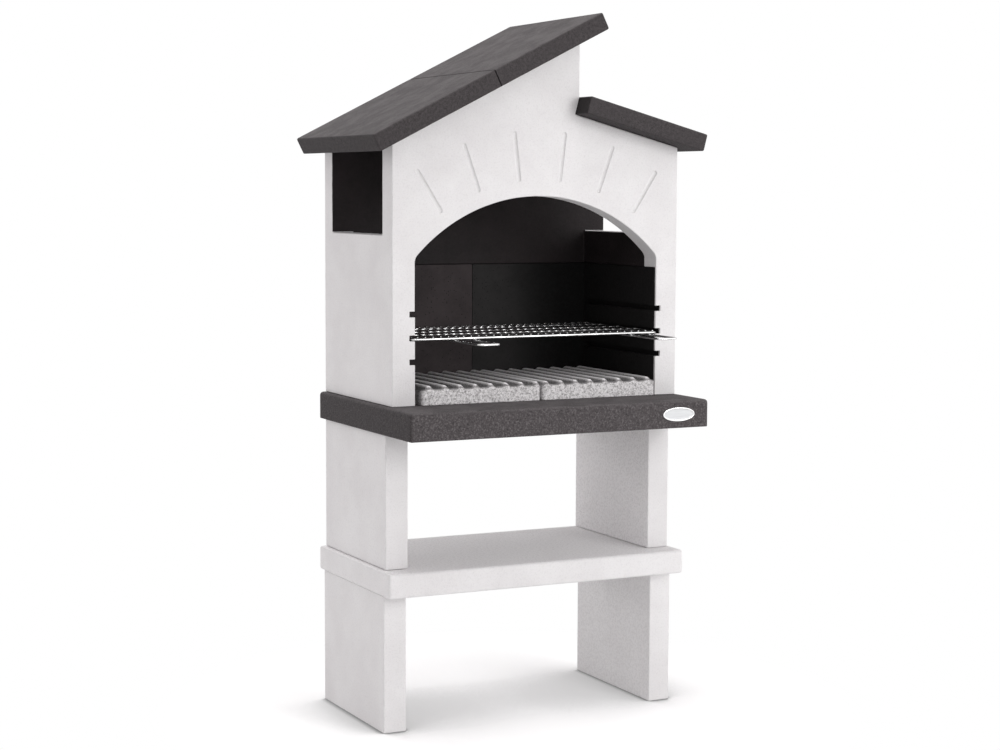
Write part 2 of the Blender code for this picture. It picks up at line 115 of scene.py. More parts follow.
# Shader groups that several finishes share
def shaderGroup(name, inputs, outputs):
    tree = bpy.data.node_groups.new(name, "ShaderNodeTree")
    tree.interface.new_socket("Vector", in_out="INPUT", socket_type="NodeSocketVector")
    for label, start in inputs.items():
        socket = tree.interface.new_socket(label, in_out="INPUT", socket_type="NodeSocketFloat")
        socket.default_value = start
    for label in outputs:
        tree.interface.new_socket(label, in_out="OUTPUT", socket_type="NodeSocketFloat")
    pen = Pen(tree)
    return tree, pen, pen.put("NodeGroupInput").outputs, pen.put("NodeGroupOutput").inputs


def makeCastGrain():
    # sand and cement: fine grain, broad clouding and scattered pores
    inputs = {"Grain": 900.0, "Cloud": 9.0, "Pores": 140.0, "Pore Share": 0.12}
    tree, pen, given, out = shaderGroup("castGrain", inputs, ("Grain", "Cloud", "Pore", "Height"))
    at = given["Vector"]
    fine = pen.noise(at, given["Grain"], 2.0, 0.6)
    coarse = pen.noise(at, pen.times(given["Grain"], 0.3), 3.0, 0.55)
    grain = pen.plus(pen.times(fine, 0.55), pen.times(coarse, 0.45))
    cloud = pen.noise(at, given["Cloud"], 5.0, 0.6)
    cell = pen.put("ShaderNodeTexVoronoi", {"Vector": at, "Scale": given["Pores"]}).outputs
    chosen = pen.less(pen.split(cell["Color"])[0], given["Pore Share"])
    pore = pen.times(chosen, pen.ramp(cell["Distance"], 0.12, 0.34, 1.0, 0.0))
    height = pen.minus(pen.plus(grain, pen.times(cloud, 0.5)), pen.times(pore, 0.8))
    for index, value in enumerate((pen.ramp(grain, 0.3, 0.7), pen.ramp(cloud, 0.3, 0.7), pore, height)):
        pen.feed(out[index], value)
    return tree


def makeArrisWear():
    # the rounded edges of a casting, broken up by a noise
    tree, pen, given, out = shaderGroup("arrisWear", {"Scale": 60.0, "Amount": 0.5}, ("Wear",))
    arris = pen.put("ShaderNodeAttribute", attribute_name="arris").outputs["Fac"]
    broken = pen.ramp(pen.noise(given["Vector"], given["Scale"], 4.0, 0.65), 0.38, 0.66)
    pen.feed(out["Wear"], pen.times(arris, broken, given["Amount"]))
    return tree


def makeDustAndSheen():
    # pale dust on upward faces, thicker in patches; it also stands in as painted light and sheen from above,
    # making upward faces lighter
    tree, pen, given, out = shaderGroup("dustAndSheen", {"Amount": 0.3}, ("DustAndSheen",))
    patch = pen.ramp(pen.noise(given["Vector"], 14.0, 5.0, 0.7), 0.36, 0.66, 0.4, 1.0)
    pen.feed(out["DustAndSheen"], pen.times(pen.ramp(pen.facing()[2], 0.3, 0.9), patch, given["Amount"]))
    return tree


castGrain = makeCastGrain()
arrisWear = makeArrisWear()
dustAndSheen = makeDustAndSheen()


# Finishes
def penFor(owner):
    owner.use_nodes = True
    owner.node_tree.nodes.clear()
    return Pen(owner.node_tree)


def newMaterial(name):
    material = bpy.data.materials.new(name)
    pen = penFor(material)
    shader = pen.put("ShaderNodeBsdfPrincipled")
    pen.put("ShaderNodeOutputMaterial", {0: shader.outputs[0]})
    return material, pen, shader, pen.put("ShaderNodeTexCoord").outputs["Object"]


def grainOf(pen, place, look):
    return pen.put("ShaderNodeGroup", {"Vector": place, **look["grain"]}, node_tree=castGrain).outputs


def maskOf(pen, place, group, values):
    return pen.result("ShaderNodeGroup", {"Vector": place, **values}, node_tree=group)


def mattOf(pen, grain, look):
    return pen.ramp(grain["Grain"], 0.0, 1.0, *look["matt"], smooth=False)


def relief(pen, shader, height, strength, distance):
    values = {"Height": height, "Strength": strength, "Distance": distance}
    pen.feed(shader.inputs["Normal"], pen.result("ShaderNodeBump", values))


def coat(pen, shader, look, colour, rough, height):
    pen.feed(shader.inputs["Base Color"], colour)
    pen.feed(shader.inputs["Roughness"], rough)
    shader.inputs["Specular IOR Level"].default_value = look["shine"]
    relief(pen, shader, height, look["strength"], look["relief"])


whiteLook = {
    "pale": grey(0.79, (1.0, 0.993, 0.995)),
    "shade": grey(0.73, (1.0, 0.985, 0.99)),
    "pore": grey(0.60),
    "bright": grey(0.95, (1.0, 0.985, 0.99)),
    "grit": grey(0.5, (1.0, 0.97, 0.975)),
    "wear": grey(0.70),
    "worn": {"Scale": 55.0, "Amount": 0.35},
    "soot": (grey(0.010, (1.0, 0.72, 0.77)), grey(0.020, (1.0, 0.72, 0.77))),
    "sootGloss": 0.2,
    "grain": {"Grain": 520.0, "Cloud": 6.0, "Pores": 240.0, "Pore Share": 0.05},
    "sand": 210.0,
    "sandBand": (0.5, 0.64, 0.0, 0.18),
    "cast": 150.0,
    "castBand": (0.47, 0.57, 0.0, 0.26),
    "castRelief": 3.5,
    "matt": (0.82, 0.95),
    "shine": 0.3,
    "strength": 0.75,
    "relief": 0.0013,
}


def whiteCoat(name, roughFace=None, paintedLight=0.0, inside=None):
    # white masonry paint on cast concrete; roughFace marks bare-cast faces, paintedLight how much painted
    # light makes them paler, inside the smoke-dark ones
    look = whiteLook
    material, pen, shader, place = newMaterial(name)
    grain = grainOf(pen, place, look)
    colour = pen.blend(grain["Cloud"], look["pale"], look["shade"])
    colour = pen.blend(pen.times(grain["Grain"], 0.25), colour, look["shade"])
    colour = pen.blend(pen.times(grain["Pore"], 0.5), colour, look["pore"])
    colour = pen.blend(maskOf(pen, place, arrisWear, look["worn"]), colour, look["wear"])
    sand = pen.noise(place, look["sand"], 4.0, 0.75)
    colour = pen.blend(pen.ramp(sand, *look["sandBand"]), colour, look["grit"])
    height = pen.plus(grain["Height"], sand)
    rough = mattOf(pen, grain, look)
    if roughFace:
        mask = roughFace(pen, place)
        cast = pen.noise(place, look["cast"], 5.0, 0.8)
        # painted light: the bare-cast faces are made paler where the lamps leave them darker
        colour = pen.blend(pen.times(mask, paintedLight), colour, look["bright"])
        colour = pen.blend(pen.times(mask, pen.ramp(cast, *look["castBand"])), colour, look["grit"])
        height = pen.plus(height, pen.times(mask, cast, look["castRelief"]))
    if inside:
        mask = inside(pen, place)
        colour = pen.blend(mask, colour, pen.blend(grain["Cloud"], *look["soot"]))
        rough = pen.minus(rough, pen.times(mask, look["sootGloss"]))
    coat(pen, shader, look, colour, rough, height)
    return material


anthraciteLook = {
    "base": grey(0.043, (1.0, 0.89, 0.92)),
    "light": grey(0.088, (1.0, 0.90, 0.925)),
    "dark": grey(0.012, (1.0, 0.89, 0.92)),
    "wear": grey(0.075, (1.0, 0.92, 0.93)),
    "worn": {"Scale": 70.0, "Amount": 0.25},
    "paintedFrontLight": grey(0.175, (1.0, 0.93, 0.945)),
    "dustAndSheenTone": grey(0.19, (1.0, 0.93, 0.945)),
    "dustAndSheenAmount": {"Amount": 0.4},
    "mottle": 210.0,
    "paleBand": (0.48, 0.66),
    "darkBand": (0.3, 0.45),
    "grain": {"Grain": 430.0, "Cloud": 7.0, "Pores": 300.0, "Pore Share": 0.2},
    "matt": (0.8, 0.95),
    "shine": 0.2,
    "strength": 0.9,
    "relief": 0.0014,
}


def anthraciteCoat(name, share, front, end=0.0):
    # share is how mottled it is, front how much painted light makes its front faces paler, end how much
    # painted shade darkens its faces that look left
    look = anthraciteLook
    material, pen, shader, place = newMaterial(name)
    grain = grainOf(pen, place, look)
    colour = pen.blend(grain["Grain"], look["dark"], look["light"])
    colour = pen.blend(pen.ramp(grain["Cloud"], 0.0, 1.0, 0.3, 0.6), colour, look["base"])
    facing = pen.facing()
    # painted light: faces turned to the front are made paler, as if lit more from the front
    paintedFrontLight = pen.ramp(facing[1], -0.9, -0.5, front, 0.0)
    colour = pen.blend(paintedFrontLight, colour, look["light"])
    speck = pen.blend(paintedFrontLight, look["light"], look["paintedFrontLight"])
    mottle = pen.noise(place, look["mottle"], 4.0, 0.7)
    colour = pen.blend(pen.ramp(mottle, *look["paleBand"], 0.0, share), colour, speck)
    colour = pen.blend(pen.ramp(mottle, *look["darkBand"], 0.7 * share, 0.0), colour, look["dark"])
    colour = pen.blend(pen.times(grain["Pore"], 0.6), colour, look["dark"])
    colour = pen.blend(maskOf(pen, place, arrisWear, look["worn"]), colour, look["wear"])
    # dust, and painted light from above: upward faces are made lighter
    colour = pen.blend(maskOf(pen, place, dustAndSheen, look["dustAndSheenAmount"]), colour, look["dustAndSheenTone"])
    # painted shade: faces that look left are darkened, as if shaded by the roof slab above them
    colour = pen.blend(pen.ramp(facing[0], -0.9, -0.7, end, 0.0), colour, look["dark"])
    coat(pen, shader, look, colour, mattOf(pen, grain, look), pen.plus(grain["Height"], mottle))
    return material


liningLook = {
    "tones": (0.75, 1.3, 2.0, 0.4),  # clouds from dark to light, grain and pores, as shares of the level
    "corner": (0.09, 0.25),  # where the right corner's shade starts and ends
    "grain": {"Grain": 480.0, "Cloud": 8.0, "Pores": 170.0, "Pore Share": 0.2},
    "matt": (0.7, 0.9),
    "shine": 0.25,
    "strength": 0.9,
    "relief": 0.0012,
}


def liningBrick(name, tint, level, deep):
    # level is the grey of the slab, set per slab partly as painted light and shade; deep is the share of it
    # that is left in the right corner, as painted shade
    look = liningLook
    material, pen, shader, place = newMaterial(name)
    grain = grainOf(pen, place, look)
    low, high, sand, pore = (grey(level * tone, tint) for tone in look["tones"])
    colour = pen.blend(grain["Cloud"], low, high)
    colour = pen.blend(pen.times(grain["Grain"], 0.3), colour, sand)
    colour = pen.blend(grain["Pore"], colour, pore)
    if deep < 1.0:
        # painted shade: the slab darkens towards the right corner
        shade = pen.ramp(pen.split(place)[0], *look["corner"])
        colour = pen.blend(shade, colour, grey(level * deep, tint))
    coat(pen, shader, look, colour, mattOf(pen, grain, look), grain["Height"])
    return material


emberLook = {
    "base": grey(0.46, (1.0, 0.975, 0.98)),
    "light": grey(0.86, (1.0, 0.985, 0.99)),
    "fleck": grey(0.13, (1.0, 0.94, 0.94)),
    "paintedChannelShade": grey(0.075, (1.0, 0.95, 0.95)),
    "grain": {"Grain": 300.0, "Cloud": 12.0, "Pores": 330.0, "Pore Share": 0.14},
    "gravel": 200.0,
    "fleckBand": (0.38, 0.465, 0.85, 0.0),
    "lightBand": (0.51, 0.58, 0.0, 1.0),
    "valleyDepth": 0.0075,
    "crestDepth": 0.0045,
    "crestTop": 0.0015,
    "matt": (0.85, 0.97),
    "shine": 0.25,
    "strength": 1.0,
    "relief": 0.0024,
}


def emberStone(name, crest):
    # speckled light refractory, with painted shade down in the channels and a painted highlight along the
    # crests
    look = emberLook
    material, pen, shader, place = newMaterial(name)
    grain = grainOf(pen, place, look)
    colour = pen.blend(grain["Grain"], look["light"], look["base"])
    colour = pen.blend(pen.times(grain["Pore"], 0.8), colour, look["fleck"])
    gravel = pen.noise(place, look["gravel"], 5.0, 0.8)
    colour = pen.blend(pen.ramp(gravel, *look["fleckBand"]), colour, look["fleck"])
    colour = pen.blend(pen.ramp(gravel, *look["lightBand"]), colour, look["light"])
    height = pen.split(place)[2]
    top = crest - look["crestTop"]
    up = pen.ramp(pen.facing()[2], 0.1, 0.4)
    # painted shade down in the channels
    low = pen.ramp(height, crest - look["valleyDepth"], top, 1.0, 0.0)
    colour = pen.blend(pen.times(low, up, 0.72), colour, look["paintedChannelShade"])
    # painted highlight along the crests
    paintedCrestHighlight = pen.times(pen.ramp(height, crest - look["crestDepth"], top), 0.95)
    colour = pen.blend(paintedCrestHighlight, colour, look["light"])
    coat(pen, shader, look, colour, mattOf(pen, grain, look), grain["Height"])
    return material


def chromedWire(name):
    material, pen, shader, place = newMaterial(name)
    smear = pen.noise(place, 55.0, 4.0, 0.6)
    tones = grey(0.82, (1.0, 1.0, 1.01)), grey(0.70, (1.0, 0.985, 0.97))
    pen.feed(shader.inputs["Base Color"], pen.blend(pen.ramp(smear, 0.35, 0.7), *tones))
    pen.feed(shader.inputs["Roughness"], pen.ramp(smear, 0.3, 0.75, 0.1, 0.18))
    shader.inputs["Metallic"].default_value = 1.0
    return material


def plateFinish(name, look):
    # satin metal rim round a pale bare field
    material, pen, shader, place = newMaterial(name)
    parts = pen.split(place)
    across = pen.math("DIVIDE", pen.minus(parts[0], look["x"]), look["halfWidth"] - look["rim"])
    upward = pen.math("DIVIDE", pen.minus(parts[2], look["z"]), look["halfHeight"] - look["rim"])
    reach = pen.math("SQRT", pen.plus(pen.times(across, across), pen.times(upward, upward)))
    rim = pen.ramp(reach, 0.99, 1.02)
    brushed = pen.noise(pen.result("ShaderNodeMapping", {0: place, 3: look["brush"]}), 1.0, 3.0, 0.6)
    streak = pen.ramp(brushed, 0.3, 0.7)
    field, metal = pen.blend(streak, *look["field"]), pen.blend(streak, *look["metal"])
    pen.feed(shader.inputs["Base Color"], pen.blend(rim, field, metal))
    pen.feed(shader.inputs["Metallic"], pen.plus(0.25, pen.times(rim, 0.65)))
    pen.feed(shader.inputs["Roughness"], pen.plus(0.42, pen.times(rim, -0.18)))
    relief(pen, shader, brushed, 0.2, 0.0002)
    return material


# Geometry Nodes trees
def geometryTree(name, inputs, hasGeometry=False):
    tree = bpy.data.node_groups.new(name, "GeometryNodeTree")
    if hasGeometry:
        tree.interface.new_socket("Geometry", in_out="INPUT", socket_type="NodeSocketGeometry")
    for label, start in inputs.items():
        kind = "NodeSocketInt" if isinstance(start, int) else "NodeSocketFloat"
        tree.interface.new_socket(label, in_out="INPUT", socket_type=kind).default_value = start
    tree.interface.new_socket("Finish", in_out="INPUT", socket_type="NodeSocketMaterial")
    tree.interface.new_socket("Geometry", in_out="OUTPUT", socket_type="NodeSocketGeometry")
    pen = Pen(tree)
    return tree, pen, pen.put("NodeGroupInput").outputs, pen.put("NodeGroupOutput").inputs


def closeTree(pen, given, out, geometry, smooth=False):
    if smooth:
        geometry = pen.geo("SetShadeSmooth", {"Geometry": geometry})
    real = pen.geo("RealizeInstances", {"Geometry": geometry})
    painted = pen.geo("SetMaterial", {"Geometry": real, "Material": given["Finish"]})
    pen.feed(out["Geometry"], painted)


def sunk(pen, geometry, share, depth):
    # each point goes in along its normal by a share of the depth
    values = {0: pen.geo("InputNormal"), "Scale": pen.times(share, depth, -1.0)}
    shift = pen.result("ShaderNodeVectorMath", values, operation="SCALE")
    return pen.geo("SetPosition", {"Geometry": geometry, "Offset": shift})


def addTree(thing, tree, values, material=None):
    modifier = thing.modifiers.new(tree.name, "NODES")
    modifier.node_group = tree
    values = {**values, "Finish": material}
    for item in tree.interface.items_tree:
        if item.in_out == "INPUT" and item.name in values:
            modifier[item.identifier] = values[item.name]


def newThing(name, data):
    thing = bpy.data.objects.new(name, data)
    bpy.context.collection.objects.link(thing)
    return thing


def bake(thing, name):
    # the evaluated object as a plain mesh with no modifiers left
    bpy.context.view_layer.update()
    graph = bpy.context.evaluated_depsgraph_get()
    evaluated = thing.evaluated_get(graph)
    mesh = bpy.data.meshes.new_from_object(evaluated, preserve_all_data_layers=True, depsgraph=graph)
    bpy.data.objects.remove(thing)
    mesh.name = name
    return newThing(name, mesh)


def grown(name, tree, values, place, material=None):
    # a mesh that a tree makes from its values alone, moved to its place
    thing = newThing(name + "Seed", bpy.data.meshes.new(name + "Seed"))
    addTree(thing, tree, values, material)
    piece = bake(thing, name)
    piece.data.transform(place)
    return piece


def settle(piece, body, slot, *nodes):
    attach(piece, body)
    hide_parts(*nodes)
    print("piece", piece.name, len(piece.data.polygons), "faces")


castSkin = {"Dip": 0.0007, "Wave": 11.0, "Ripple": 60.0}


def castSkinTree():
    # a casting's face is never quite flat: it dips a little, always inwards
    tree, pen, given, out = geometryTree("castSkin", castSkin, hasGeometry=True)
    place = pen.geo("InputPosition")
    wave = pen.noise(place, given["Wave"], 2.0, 0.5)
    ripple = pen.noise(place, given["Ripple"], 2.0, 0.5)
    both = pen.plus(pen.times(wave, 0.7), pen.times(ripple, 0.3))
    closeTree(pen, given, out, sunk(pen, given["Geometry"], both, given["Dip"]))
    return tree


skinTree = castSkinTree()


# Masonry
def stack(rings):
    # a closed solid through rings of points
    shape = bmesh.new()
    rows = [[shape.verts.new(point) for point in ring] for ring in rings]
    for first, second in zip(rows, rows[1:]):
        for index in range(len(first)):
            shape.faces.new((first[index - 1], first[index], second[index], second[index - 1]))
    shape.faces.new(rows[0])
    shape.faces.new(rows[-1][::-1])
    bmesh.ops.recalc_face_normals(shape, faces=shape.faces)
    return shape


def prism(outline, front, back):
    return stack([[(x, depth, z) for x, z in outline] for depth in (front, back)])


def block(low, high):
    outline = [(low[0], low[2]), (high[0], low[2]), (high[0], high[2]), (low[0], high[2])]
    return prism(outline, low[1], high[1])


def asMesh(shape, name):
    mesh = bpy.data.meshes.new(name)
    shape.to_mesh(mesh)
    shape.free()
    return mesh


def asShape(thing):
    # takes the object away and goes on with its mesh
    shape = bmesh.new()
    shape.from_mesh(thing.data)
    bpy.data.objects.remove(thing)
    return shape


castWork = {
    "sharp": radians(28),  # edges that turn further are rounded
    "weld": 0.00002,  # points that are nearer than this become one
    "onFace": 0.0005,  # points that are nearer than this lie on a face
    "flat": radians(0.4),
    "normalWeight": 80,
}


def cutInto(thing, others, operation):
    # exact Booleans one after another, applied at once
    helpers = [newThing("helper", mesh) for mesh in others]
    for helper in helpers:
        step = thing.modifiers.new("cut", "BOOLEAN")
        step.operation = operation
        step.solver = "EXACT"
        step.object = helper
    made = bake(thing, "work")
    for helper in helpers:
        bpy.data.objects.remove(helper)
    return made


def softEdges(shape, look, weigh):
    # rounds the sharp edges and marks the new faces as arrises
    shape.faces.layers.float.new("arris")
    weight = shape.edges.layers.float.new("bevel_weight_edge")
    for edge in shape.edges:
        if edge.calc_face_angle(0) > castWork["sharp"]:
            edge[weight] = weigh(edge) if weigh else 1.0
    thing = newThing("soft", asMesh(shape, "soft"))
    bevel = thing.modifiers.new("soft", "BEVEL")
    bevel.limit_method = "WEIGHT"
    bevel.width = look["edge"]
    bevel.segments = look["segments"]
    bevel.use_clamp_overlap = False
    thing.data.materials.append(None)
    thing.data.materials.append(None)
    bevel.material = 1
    shape = asShape(bake(thing, "soft"))
    layer = shape.faces.layers.float["arris"]
    for face in shape.faces:
        face[layer] = float(face.material_index == 1)
        face.material_index = 0
    return shape


def gridCut(shape, step):
    low = [min(vert.co[axis] for vert in shape.verts) for axis in range(3)]
    high = [max(vert.co[axis] for vert in shape.verts) for axis in range(3)]
    for axis in range(3):
        count = ceil((high[axis] - low[axis]) / step)
        normal = Vector([float(axis == other) for other in range(3)])
        for number in range(1, count):
            at = normal * (low[axis] + (high[axis] - low[axis]) * number / count)
            every = [*shape.verts, *shape.edges, *shape.faces]
            bmesh.ops.bisect_plane(shape, geom=every, dist=castWork["weld"], plane_co=at, plane_no=normal)


def casting(name, shape, look, material, slot, nodes, weigh=None):
    # a clean solid becomes a soft-edged, slightly uneven casting
    shape = softEdges(shape, look, weigh)
    gridCut(shape, look["grid"])
    for face in shape.faces:
        face.smooth = True
    thing = newThing(name + "Work", asMesh(shape, name))
    addTree(thing, skinTree, {**castSkin, "Dip": look["dip"]}, material)
    thing.modifiers.new("normals", "WEIGHTED_NORMAL").weight = castWork["normalWeight"]
    settle(bake(thing, name), "masonry", slot, *nodes)


hobLow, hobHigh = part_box("hob_slab")
middle = (hobLow[0] + hobHigh[0]) / 2
frontLow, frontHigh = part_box("hood_front")
backLow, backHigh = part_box("hood_back")
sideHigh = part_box("hood_side_right")[1]
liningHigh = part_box("lining_side_right")[1]

hood = {
    "edge": 0.003,
    "segments": 3,
    "grid": 0.032,
    "dip": 0.0007,
    "margin": 0.02,  # how far a cutter reaches past a face
    "jamb": 0.360,
    "liningSeat": 0.390,
    "lip": 0.008,
    "bed": 0.0003,
    "archRadius": 0.484,
    "archCentre": 0.059,
    "archSteps": 64,
    "springFillet": 0.030,
    "springSteps": 6,
    "leftEave": 0.683,
    "rightEave": 0.677,
    "leftSlope": radians(26.7),
    "rightSlope": radians(14.85),
    "rightOverhang": 0.045,
    "rightLength": 0.3755,
    "roofThick": 0.048,
    "grooveFirst": 0.107,
    "groovePitch": 0.062,
    "grooveHeight": 0.0145,
    "grooveDepth": 0.0155,
    "backRebate": 0.030,
    "seatGap": 0.005,
    # how round the thinner arrises are, as shares of the edge
    "footShare": 0.6,
    "thinShare": 0.3,
    # where the score lines' edges are, and how sharp those are that stay
    "scoreFace": 0.004,
    "scoreLength": 0.2,
    "scoreSide": 0.01,
    "scoreTop": 0.73,
    "scoreSharp": radians(40),
}

scoreFan = {
    "Count": 6,
    "Turn": radians(13.15),
    "Start": 0.525,
    "Length": 0.133,
    "Width": 0.0120,
    "Deep": 0.0050,
}


def scoreTree():
    # cutters for the score lines, turned about the arch's centre
    tree, pen, given, out = geometryTree("scoreFan", scoreFan)
    half = pen.times(given["Width"], 0.5)
    inner = pen.plus(given["Start"], half)
    outer = pen.minus(pen.plus(given["Start"], given["Length"]), half)
    ends = {"Start": pen.pack(0.0, 0.0, inner), "End": pen.pack(0.0, 0.0, outer)}
    line = pen.geo("CurvePrimitiveLine", ends)
    points = pen.geo("ResampleCurve", {"Curve": line, "Count": 2})
    ball = pen.geo("MeshUVSphere", {"Segments": 16, "Rings": 8, "Radius": half})
    balls = pen.geo("InstanceOnPoints", {"Points": points, "Instance": ball})
    balls = pen.geo("RealizeInstances", {"Geometry": balls})
    stroke = pen.geo("ConvexHull", {"Geometry": balls})
    squash = pen.pack(1.0, pen.math("DIVIDE", given["Deep"], half), 1.0)
    stroke = pen.geo("Transform", {"Geometry": stroke, "Scale": squash})
    spots = pen.geo("MeshLine", {"Count": given["Count"], "Offset": (0.0, 0.0, 0.0)})
    middling = pen.times(pen.minus(given["Count"], 1.0), 0.5)
    angle = pen.times(pen.minus(pen.geo("InputIndex"), middling), given["Turn"])
    turn = pen.result("FunctionNodeEulerToRotation", {0: pen.pack(0.0, angle, 0.0)})
    fan = {"Points": spots, "Instance": stroke, "Rotation": turn}
    closeTree(pen, given, out, pen.geo("InstanceOnPoints", fan))
    return tree


def curve(centre, radius, start, end, steps):
    turns = [start + (end - start) * step / steps for step in range(steps + 1)]
    return [(centre[0] + radius * cos(turn), centre[1] + radius * sin(turn)) for turn in turns]


def slabAxes(turn):
    # along a roof slab to the right, and out of its upper face
    return Vector((cos(turn), sin(turn))), Vector((-sin(turn), cos(turn)))


def gableOutline(look, base):
    side, bed = frontHigh[0] - middle, look["bed"]
    leftSlope, rightSlope = look["leftSlope"], look["rightSlope"]
    way, up = slabAxes(-rightSlope)
    overhang, rightEave = look["rightOverhang"], base + look["rightEave"]
    foot = Vector((side + overhang, rightEave - overhang * tan(rightSlope)))
    head = foot - look["rightLength"] * way - bed * way - bed * up
    step = head + (look["roofThick"] + bed) * up
    leftEave = base + look["leftEave"]
    peak = leftEave + (side + step.x) * tan(leftSlope)
    return [
        (side, base),
        (side, rightEave - bed / cos(rightSlope)),
        tuple(head),
        tuple(step),
        (step.x, peak - bed / cos(leftSlope)),
        (-side, leftEave - bed / cos(leftSlope)),
        (-side, base),
    ]


def mouthOutline(look, base):
    centre = base + look["archCentre"]
    reach = look["archRadius"] - look["springFillet"]
    across = look["jamb"] - look["springFillet"]
    height = centre + (reach**2 - across**2) ** 0.5
    turn = acos(across / reach)
    right = curve((across, height), look["springFillet"], 0, turn, look["springSteps"])
    crown = curve((0, centre), look["archRadius"], turn, pi - turn, look["archSteps"])
    left = curve((-across, height), look["springFillet"], pi - turn, pi, look["springSteps"])
    return [(look["jamb"], base), *right, *crown[1:-1], *left, (-look["jamb"], base)]


def shifted(outline):
    return [(x + middle, z) for x, z in outline]


def grooveComb(look, side, base, front, back):
    extras = (look["grooveDepth"], -look["bed"], -look["margin"])
    deep, near, root = (side * (look["jamb"] + extra) for extra in extras)
    first = base + look["grooveFirst"]
    points = [(root, first - look["margin"]), (near, first - look["margin"])]
    for number in range(3):
        floor = first + number * look["groovePitch"]
        top = floor + look["grooveHeight"]
        points += [(near, floor), (deep, floor), (deep, top), (near, top)]
    last = first + 3 * look["groovePitch"]
    return asMesh(prism(shifted(points + [(near, last), (root, last)]), front, back), "comb")


def hoodShell(look):
    # the four castings of the hood under one coat
    base, margin, seat = frontLow[2], look["margin"], look["liningSeat"]
    front, frontBack, backFace, back = frontLow[1], frontHigh[1], backLow[1], backHigh[1]
    outer, inner, lipBack = frontHigh[0] - middle, look["jamb"], front + look["lip"]
    liningTop = liningHigh[2] + look["bed"]
    gable = gableOutline(look, base)
    panel = asMesh(prism(shifted(gable + mouthOutline(look, base)[::-1]), front, frontBack), "front")
    parts = [asMesh(prism(shifted(gable), backFace, back), "back")]
    low = (middle - seat, backFace - look["backRebate"], base - margin)
    high = (middle + seat, backFace + look["backRebate"], liningTop)
    cuts = [asMesh(block(low, high), "rebate")]
    for side in (-1, 1):
        wall = [(outer, base), (outer, sideHigh[2]), (inner, sideHigh[2]), (inner, liningTop)]
        wall = [(side * x, z) for x, z in wall + [(seat, liningTop), (seat, base)]]
        parts.append(asMesh(prism(shifted(wall), frontBack - margin, backFace + margin), "wall"))
        ends = sorted((side * (inner - margin), side * seat))
        low = (middle + ends[0], lipBack, base - margin)
        high = (middle + ends[1], backFace - look["seatGap"], liningTop)
        cuts.append(asMesh(block(low, high), "seat"))
        cuts.append(grooveComb(look, side, base, front - margin, lipBack + margin))
    height = base + look["archCentre"]
    fan = grown("fan", scoreTree(), scoreFan, Matrix.Translation((middle, front, height)))
    cuts.append(fan.data)
    bpy.data.objects.remove(fan)
    shell = cutInto(newThing("panel", panel), parts, "UNION")
    shape = asShape(cutInto(shell, cuts, "DIFFERENCE"))
    bmesh.ops.remove_doubles(shape, verts=shape.verts, dist=castWork["weld"])
    bmesh.ops.dissolve_limit(shape, angle_limit=castWork["flat"], verts=shape.verts, edges=shape.edges)
    centre, scoreStart = Vector((middle, height)), look["archRadius"] + margin

    def weigh(edge):
        ends = [vert.co for vert in edge.verts]
        if all(abs(end.z - base) < castWork["onFace"] for end in ends):
            return look["footShare"]
        if all(abs(abs(end.x - middle) - inner) < margin and end.z < liningTop - margin for end in ends):
            return look["thinShare"]
        scored = edge.calc_length() < look["scoreLength"]
        scored = scored and abs(ends[0].x - middle) < outer - look["scoreSide"]
        for end in ends:
            scored = scored and (end.xz - centre).length > scoreStart
            scored = scored and abs(end.y - front) < look["scoreFace"] and end.z < base + look["scoreTop"]
        if scored:
            return look["thinShare"] if edge.calc_face_angle(0) > look["scoreSharp"] else 0.0
        return 1.0

    return shape, weigh


soot = {
    "wobble": 0.004,
    "creep": (0.4, 0.65, 0.0008, 0.0020),
    "start": 0.0012,
    "slack": 0.002,
    "rim": 0.0025,
    "sill": 0.006,
    "sillEdge": 0.004,
}


def insideMask(pen, place):
    # smoke-dark faces between the front and the back casting, with an uneven border
    slack = soot["slack"]
    x, y, z = pen.split(place)
    wobble = pen.times(pen.minus(pen.noise(place, 70.0, 3.0, 0.6), 0.5), soot["wobble"])
    across = pen.math("ABSOLUTE", pen.minus(x, middle))
    uneven = pen.plus(across, wobble)
    above = pen.less(sideHigh[2] + slack, z)
    creep = pen.times(above, pen.ramp(pen.noise(place, 11.0, 3.0, 0.6), *soot["creep"]))
    creep = pen.plus(creep, soot["start"])
    low = pen.less(z, liningHigh[2] + slack)
    rebate = pen.times(low, pen.less(across, hood["liningSeat"] + slack))
    near = pen.minus(frontHigh[1], creep)
    far = pen.plus(pen.plus(backLow[1], creep), pen.times(rebate, hood["backRebate"]))
    between = pen.times(pen.less(near, y), pen.less(y, far))
    rim = pen.less(uneven, frontHigh[0] - middle - soot["rim"])
    offSill = pen.math("ABSOLUTE", pen.minus(z, sideHigh[2]))
    up = pen.less(0.3, pen.facing()[2])
    sill = pen.times(pen.less(offSill, soot["sill"]), up)
    sill = pen.times(sill, pen.less(hood["jamb"] + soot["sillEdge"], uneven))
    dark = pen.math("MAXIMUM", above, pen.times(rim, pen.minus(1.0, sill)))
    return pen.times(between, dark)


print("hood")
hoodShape, hoodWeigh = hoodShell(hood)
hoodNodes = ("hood_front", "hood_back", "hood_side_left", "hood_side_right")
hoodCoat = whiteCoat("whiteHood", inside=insideMask)
casting("hoodShell", hoodShape, hood, hoodCoat, "white_masonry", hoodNodes, hoodWeigh)

legs = {"edge": 0.0035, "segments": 3, "grid": 0.03, "dip": 0.0007, "paintedLight": {"lower": 0.2, "upper": 1.0}}
shelf = {"edge": 0.0075, "segments": 4, "grid": 0.03, "dip": 0.0007, "paintedLight": 1.0}
worktop = {"edge": 0.0105, "segments": 5, "grid": 0.03, "dip": 0.0006, "footShare": 0.4}


